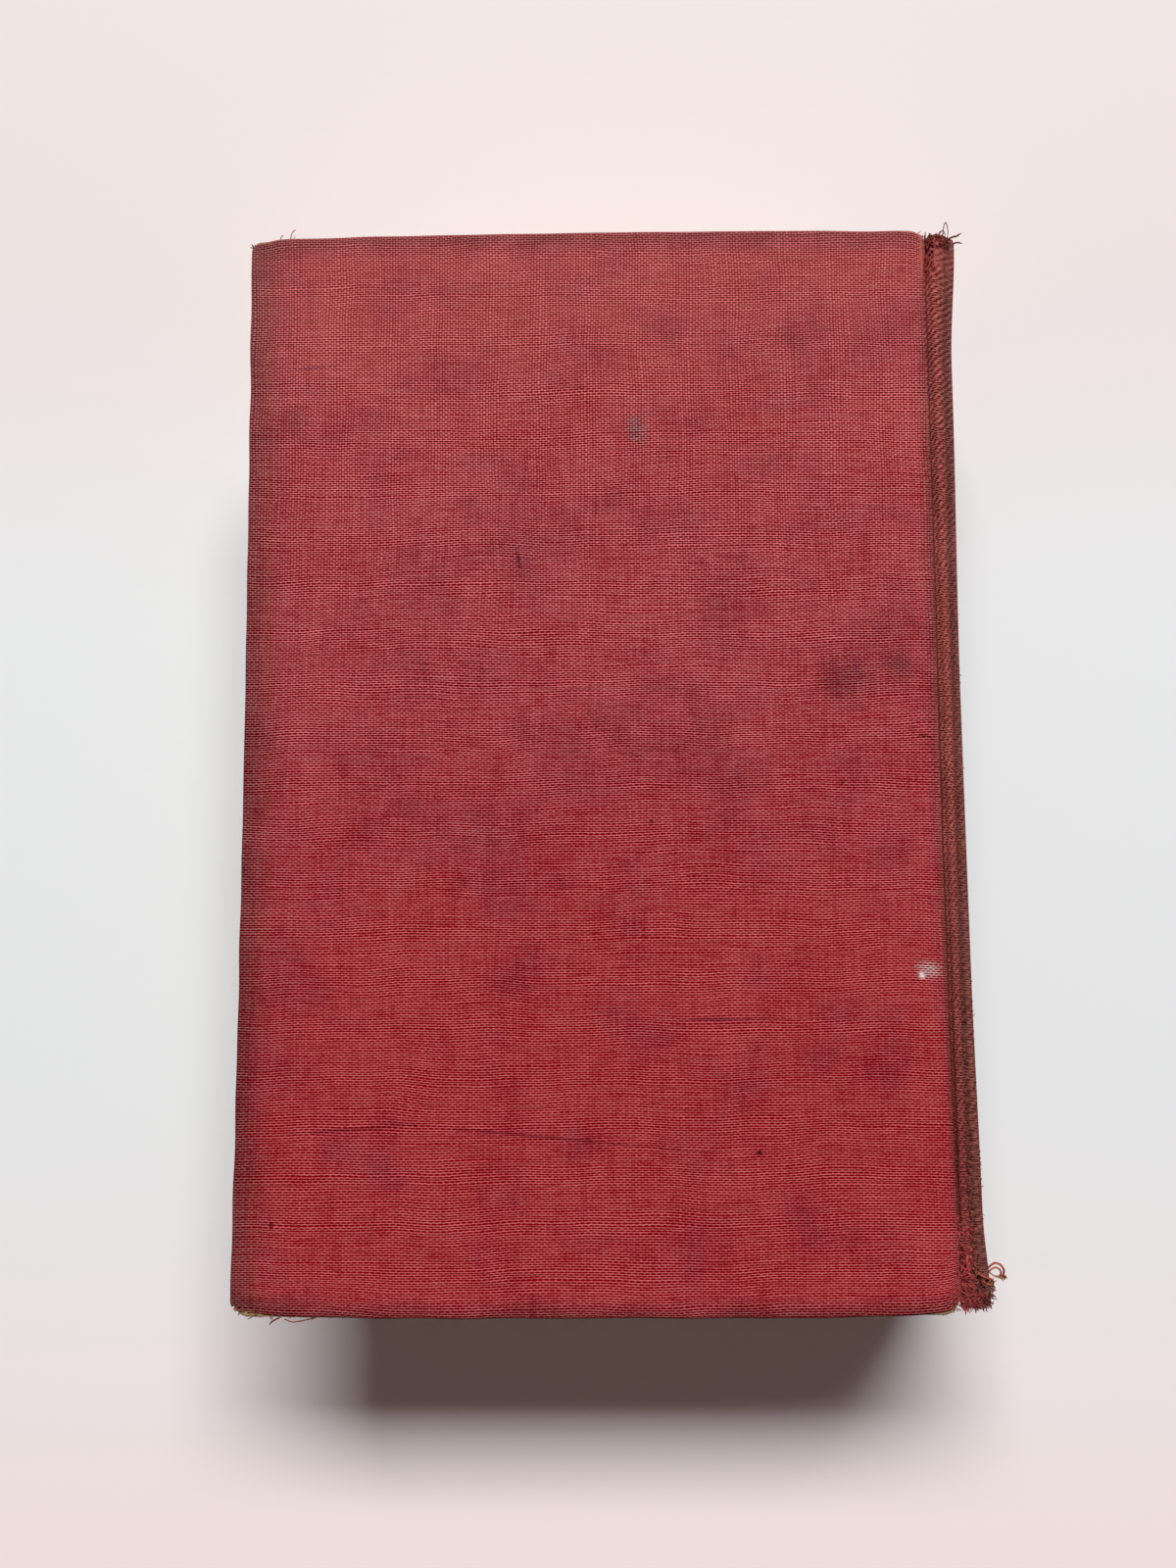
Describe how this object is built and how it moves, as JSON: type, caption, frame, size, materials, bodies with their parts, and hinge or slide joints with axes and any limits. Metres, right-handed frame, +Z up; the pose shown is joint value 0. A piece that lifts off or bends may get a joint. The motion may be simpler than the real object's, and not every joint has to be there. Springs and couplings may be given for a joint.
{
  "type": "hardback book",
  "caption": "Thick hardback book in worn red cloth, lying shut, with gently rounded spine, grooved joints and two covers that open.",
  "frame": {"origin": "middle of the footprint, on the surface that the book lies on", "axes": "+Z up through the back cover, +Y towards the head of the pages, +X towards the spine"},
  "size_m": [0.1318, 0.194, 0.0442],
  "materials": {
    "book_cloth": "faded, worn plain-weave cloth",
    "binders_board": "rough tan board",
    "inlay_card": "plain card",
    "page_paper": "toned, uncoated",
    "endpaper": "toned, uncoated",
    "lining_paper": "brown, uncoated",
    "gauze": "open weave, sized",
    "linen_thread": "plain thread"
  },
  "bodies": {
    "text_block": {"pages": "page_paper", "sewing_thread": "linen_thread", "spine_mull": "gauze", "spine_lining": "lining_paper", "spine_inlay": "inlay_card", "spine_cloth": "book_cloth", "back_flyleaf": "endpaper", "back_joint_cloth": "book_cloth", "back_endpaper_fold": "endpaper", "back_mull_fold": "gauze", "front_flyleaf": "endpaper", "front_joint_cloth": "book_cloth", "front_endpaper_fold": "endpaper", "front_mull_fold": "gauze"},
    "back_cover": {"back_board": "binders_board", "back_cover_cloth": "book_cloth", "back_pastedown": "endpaper", "back_mull_flange": "gauze"},
    "front_cover": {"front_board": "binders_board", "front_cover_cloth": "book_cloth", "front_pastedown": "endpaper", "front_mull_flange": "gauze"}
  },
  "joints": [
    {"name": "back_cover_hinge", "type": "hinge", "parent": "text_block", "child": "back_cover", "pos_m": [0.05976, 0, 0.04385], "axis": [0, 1, 0], "range_deg": [0, 180], "deforming": ["back_joint_cloth", "back_endpaper_fold", "back_mull_fold"]},
    {"name": "front_cover_hinge", "type": "hinge", "parent": "text_block", "child": "front_cover", "pos_m": [0.05976, 0, 0.00035], "axis": [0, -1, 0], "range_deg": [0, 180], "deforming": ["front_joint_cloth", "front_endpaper_fold", "front_mull_fold"]}
  ]
}
